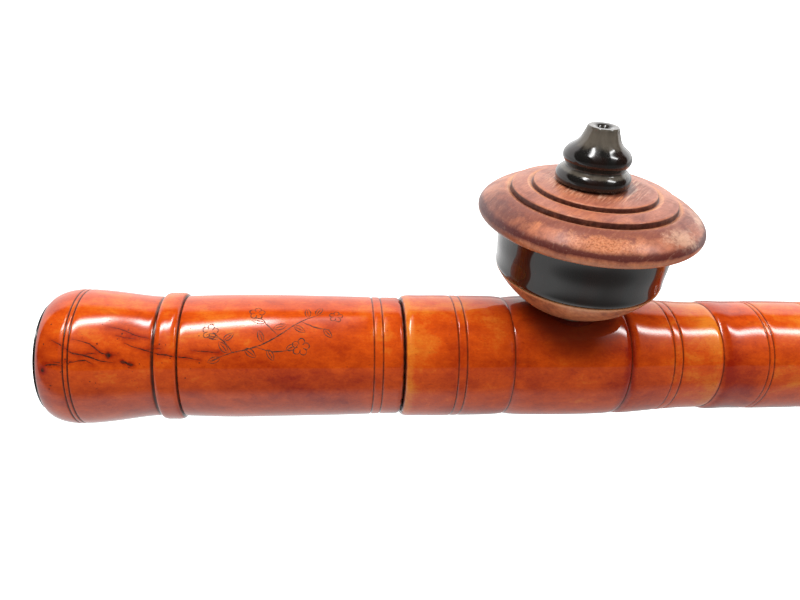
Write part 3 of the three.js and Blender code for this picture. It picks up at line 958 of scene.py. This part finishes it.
def build_bowl_base():
    centre, radius, foot, top = SEAT, 27.1, 18.6, 29.8
    start = math.degrees(math.asin((foot - centre) / radius))
    end = math.degrees(math.asin((top - centre) / radius))
    ball = arc((0, centre), (radius, radius), start, end)
    chamber = arc((0, 38), (17.4, 16.4), 0, -80)
    floor = chamber[-1][1]
    rows = outline(
        *corners((2.6, 9.5), (NECK_RADIUS, 9.5), (NECK_RADIUS, foot), ball[0]),
        ball,
        *corners(ball[-1], (21.5, top), (21.5, SEAT), (17.4, SEAT)),
        [(17.4, SEAT)] + chamber,
        *corners(chamber[-1], (2.6, floor), (2.6, 9.5)),
        step=0.4,
    )
    rows = [(row[0], row[1], 0, 0.1 - 1.1 * math.exp(-((row[1] - top) / 0.7) ** 2)) for row in rows]
    piece = lathe("bowl_base_turned", rows, on_bowl(BOWL_X), 144, unevenness(31, 0.05))
    settle(piece, "bowl", "bowl_wood", BASE_WOOD, "bowl_base")


def build_bowl_band():
    rows = outline(
        [(21.8, 30.1), (22.9, 30.1)],
        [(22.9, 30.1), (23.15, 30.3), (23.3, 31.2), (23.65, 37), (24, 43), (24.02, 43.8), (23.85, 44.1)],
        *corners((23.85, 44.1), (21.8, 44.1), (21.8, 30.1)),
    )
    piece = lathe("bowl_band_turned", rows, on_bowl(BOWL_X), 144, unevenness(32, 0.008))
    settle(piece, "bowl", "black_horn", BOWL_HORN, "bowl_band")


def cap_step(*points):
    """Strokes over one turned step: a pale lip, partly rubbed wood and partly painted light; a floor and
    riser darkened as painted shade; and a worn edge.
    """
    markings = ((0, -1), (0, -1), (0.2, -0.6), (0.9, 0), (1, 0), (1, 0), (1, 0.3), (0.8, 0.3),
            (0.1, -0.4), (0, -0.4), (0, -0.1))
    places = [points[i] for i in (0, 1, 2, 2, 3, 3, 4, 5, 5, 6, 7)]
    rows = [(*place, *worn) for place, worn in zip(places, markings)]
    return rows[:3], rows[3:5], rows[5:8], rows[8:]


def build_bowl_cap():
    rim = arc((27.65, 46.8), (2.6, 2.3), -80, 25, 8)
    # Along the rim's turn the tone rises to dark maroon as painted shade under the rim, and below it falls
    # to pale tan as painted bounce light.
    rim = [(r, z, 0, -0.3 + 1.45 * math.exp(-((z - 47.9) / 0.7) ** 2)) for r, z in rim]
    rows = outline(
        [(17.1, 44.4, 0.3, 0.4), (27.2, 44.45, 0.1, 0.2)],
        [(27.2, 44.45, 0.1, 0.2)] + rim + [(28.8, 49.2, 0, 0.1), (26.4, 50.85), (23.9, 51.98),
                                           (23.2, 52.2, 0, -0.5)],
        *cap_step((23.2, 52.2), (22.7, 52.1), (22.35, 51.95), (22.1, 51.95), (22, 52.5), (21.95, 53.2),
                  (21.7, 53.5), (21.3, 53.62)),
        [(21.3, 53.62, 0, -0.1), (20.6, 53.75), (19, 54.03), (18, 54.15, 0, -0.1)],
        *cap_step((18, 54.15), (17.3, 54.05), (16.85, 53.85), (16.5, 53.85), (16.4, 54.3), (16.35, 54.8),
                  (16.1, 55.05), (15.6, 55.18)),
        [(15.6, 55.18, 0, -0.1), (14.8, 55.3), (11, 55.72)],
        [(11, 55.72), (9.9, 55.8, 0.6, 0.3), (0, 55.8, 0.6, 0.3)],
        [(0, 50.5, 0.6, 0.5), (11.3, 49.6, 0.6, 0.5), (13.3, 47, 0.6, 0.5)],
        *corners((13.3, 47, 0.6, 0.5), (13.3, 40.2, 0.6, 0.5), (17.1, 40.2, 0.3, 0.5),
                 (17.1, 44.4, 0.3, 0.4)),
        step=0.25,
    )
    turn = next(i for i in range(len(rows) - 1) if rows[i][0] == 0 and rows[i + 1][0] == 0)
    rows = rows[turn + 1:] + rows[:turn + 1]
    piece = lathe("bowl_cap_turned", rows, on_bowl(BOWL_X), 176, unevenness(33, 0.05))
    drill(piece, FINIAL_X, FINIAL_PIN, 39, 60)
    settle(piece, "bowl", "bowl_wood", CAP_WOOD, "bowl_cap")


def build_finial():
    rows = outline(
        *corners((0.9, 48), (3.1, 48), (3.1, 56.1), (9.3, 56.1)),
        [(9.3, 56.1), (9.75, 56.5), (9.9, 57.3), (9.8, 58.3), (9.4, 59, 0, 0.1),
         (8.7, 59.6, 0, 0.8), (8.1, 60, 0, 0.8)],
        [(8.1, 60, 0.3, 0.8), (7.85, 60.4, 0.5, 0.5), (7.95, 60.9, 0.2, 0.3)],
        [(7.95, 60.9, 0.2, 0.3), (8.35, 61.5), (8.85, 62.5), (8.75, 63.6),
         (8.1, 64.7), (7, 65.6, 0, 0.2), (5.85, 66.6, 0, 0.6), (5.15, 67.7, 0, 0.8),
         (4.65, 69, 0, 0.85), (4.25, 70.2, 0, 0.8), (4.1, 70.7, 0, 0.7), (3.85, 70.94, 0, 0.6)],
        [(3.85, 70.94, 0, 0.6), (2.7, 70.92, 0, 0.5), (2.1, 70.75, 0.2, 0.4), (1.3, 70, 0.5, 0.3),
         (0.9, 69.5, 0.9, 0)],
        [(0.9, 69.5, 0.9, 0), (0.9, 48, 0.9, 0)],
        step=0.3,
    )
    piece = lathe("finial_turned", rows, on_bowl(FINIAL_X), 120, unevenness(34, 0.02))
    settle(piece, "finial", "black_horn", BOWL_HORN, "finial")


def build_socket_bush():
    rows = outline(
        *corners((7.1, 10), (8.8, 10), (8.8, 17.7), (8.5, 18), (7.4, 18), (7.1, 17.7), (7.1, 10)),
        step=0.8,
    )
    piece = lathe("socket_bush_turned", rows, on_bowl(BOWL_X), 96)
    saddle = [(0, -20), (SADDLE_CURVE, -20), (SADDLE_CURVE, 20), (0, 20)]
    carve(piece, lathe("saddle_rod", saddle, on_stem, 176), "INTERSECT")
    settle(piece, "stem", "dark_wood", BUSH_SHADE_WOOD, "socket_bush")


def build_gasket():
    """Cloth thread wound round the bowl's neck: each turn stands out as a small ridge."""
    inner, outer, foot, top, pitch = 5.5, 6.62, 10.7, 17.7, 0.7
    heights = np.linspace(foot, top, 71)
    thread = [(outer + 0.16 * abs(math.sin(math.pi * (z - foot) / pitch)), z) for z in heights]
    rows = [(inner, foot)] + thread + [(inner, top)]
    piece = lathe("bowl_gasket_wound", rows, on_bowl(BOWL_X), 96, crease=80)
    settle(piece, "gasket", "gasket_cloth", CLOTH, "bowl_gasket")


sections = build_sections()
build_tenons()
build_tail_plug()
build_mouthpiece()
build_tail_lines(sections["tail_section"])
build_socket_bush()
build_gasket()
build_bowl_base()
build_bowl_band()
build_bowl_cap()
build_finial()


# ---- Floor, light and camera ----

FLOOR_DROP = 130        # the stand holds the pipe this far above the floor
CAMERA_FROM_BOWL = (-72, -162.4, 113.5)
CAMERA_AZIMUTH = 7.63
CAMERA_ELEVATION = 29.96
CAMERA_ROLL = 4.24
CAMERA_LENS = 29.77


def build_floor():
    """A wide, pale, almost shadowless floor."""
    reach, steps = 4000, 24
    marks = np.linspace(-reach, reach, steps + 1)
    points = np.array([(x, y, AXIS_Z - FLOOR_DROP) for y in marks for x in marks])
    row = steps + 1
    faces = [(j * row + i, j * row + i + 1, (j + 1) * row + i + 1, (j + 1) * row + i)
             for j in range(steps) for i in range(steps)]
    floor = make_object("floor", points, faces)
    paper = Surface("pale_paper", Roughness=0.9)
    tooth = paper.noise(paper.coords(), 0.6, 2)
    paper.set("Base Color", paper.ramp(tooth, (0.3, (0.86, 0.86, 0.86)), (0.7, (0.9, 0.9, 0.9))))
    paper.set("Emission Color", (1, 1, 1))
    paper.set("Emission Strength", 0.72)
    floor.data.materials.append(paper.material)
    floor.visible_glossy = False
    floor.visible_diffuse = False


LAMP_HALF_WIDTH = 6.2   # degrees
GLOW_PEAK = 2.8
GLOW_FADE = 13          # degrees


def build_world():
    """A studio: white to the camera, and for reflections a white backdrop, two long lamps overhead, an
    unlit room in front and a white table below."""
    world = bpy.data.worlds.new("studio")
    bpy.context.scene.world = world
    world.use_nodes = True
    n = Nodes(world.node_tree)
    direction = n.add("TexCoord").outputs["Generated"]
    x, y, z = n.add("SeparateXYZ", [(0, direction)]).outputs
    turn = n.times(n.math("ARCTAN2", z, n.times(y, -1)), 180 / math.pi)

    def strip(centre, peak, ends, tail_ends):
        """A long lamp: a bright band of directions around its centre line, and a glow in front of it."""
        off = n.minus(turn, centre)
        scaled = n.times(off, 1 / LAMP_HALF_WIDTH)
        core = n.math("EXPONENT", n.times(n.times(scaled, scaled), -1))
        core = n.times(n.times(core, peak), ends)
        tail = n.math("EXPONENT", n.times(n.math("MINIMUM", off, 0), 1 / GLOW_FADE))
        tail = n.times(n.times(tail, GLOW_PEAK), n.levels(off, 0, 9, 1, 0))
        return n.plus(core, n.times(tail, tail_ends))

    left_centre = n.plus(n.times(x, 62), 104)
    left_ends = n.between(x, -0.38, -0.075, 0.04, 0.035)
    left_tail = n.between(x, -0.41, 0.07, 0.05, 0.05)
    right_centre = n.plus(n.times(n.minus(x, 0.5), -28), 85)
    right_ends = n.between(x, 0.435, 0.67, 0.035, 0.03)
    softbox = n.plus(strip(left_centre, 24, left_ends, left_tail),
                     strip(right_centre, 16, right_ends, right_ends))
    horizon = n.times(n.levels(turn, 12, 9), 0.22)
    table = n.times(n.levels(turn, -26, -50), n.levels(x, 0, 0.35, 0.9, 0.4))
    table = n.plus(table, horizon)
    backdrop = n.levels(turn, 121, 134)
    glow = n.plus(n.times(backdrop, 1.42), softbox)
    glow = n.plus(n.plus(glow, table), 0.01)
    sky = n.times(n.math("MAXIMUM", z, 0), 1.8)
    ground = n.times(n.math("MINIMUM", z, 0), -1)
    fill = n.plus(n.plus(sky, ground), 0.07)
    rays = n.add("LightPath")
    strength = n.plus(n.times(rays.outputs["Is Glossy Ray"], n.minus(glow, fill)), fill)
    camera = rays.outputs["Is Camera Ray"]
    strength = n.plus(n.times(camera, n.minus(1, strength)), strength)
    background = n.add("Background", [("Strength", strength)])
    background.inputs["Color"].default_value = (1, 1, 1, 1)
    output = n.add("OutputWorld")
    n.tree.links.new(background.outputs[0], output.inputs[0])


def area_light(name, place, target, size, power):
    """A soft lamp that lights surfaces but doesn't show in the lacquer."""
    data = bpy.data.lights.new(name, "AREA")
    data.shape = "RECTANGLE"
    data.size, data.size_y = size
    data.energy = power
    lamp = bpy.data.objects.new(name, data)
    lamp.location = place
    lamp.rotation_euler = (Vector(target) - Vector(place)).to_track_quat("-Z", "Y").to_euler()
    lamp.visible_glossy = False
    bpy.context.scene.collection.objects.link(lamp)


def build_camera():
    azimuth, elevation, roll = (math.radians(a) for a in (CAMERA_AZIMUTH, CAMERA_ELEVATION, CAMERA_ROLL))
    forward = Vector((math.sin(azimuth) * math.cos(elevation), math.cos(azimuth) * math.cos(elevation),
                      -math.sin(elevation)))
    level = Vector((math.cos(azimuth), -math.sin(azimuth), 0))
    right = Matrix.Rotation(-roll, 3, forward) @ level
    up = right.cross(forward)
    turn = Matrix((right, up, -forward)).transposed()
    data = bpy.data.cameras.new("camera")
    data.lens = CAMERA_LENS
    data.sensor_width = 36
    data.clip_start = 0.01
    camera = bpy.data.objects.new("camera", data)
    place = Vector(CAMERA_FROM_BOWL) + Vector((BOWL_X, 0, AXIS_Z))
    camera.matrix_world = Matrix.Translation(place * MM) @ turn.to_4x4()
    bpy.context.scene.collection.objects.link(camera)
    bpy.context.scene.camera = camera


build_floor()
build_world()
area_light("overhead", (-0.12, -0.06, 0.62), (-0.06, 0, 0.02), (0.5, 0.3), 1.1)
build_camera()
bpy.context.scene.view_settings.view_transform = "Standard"
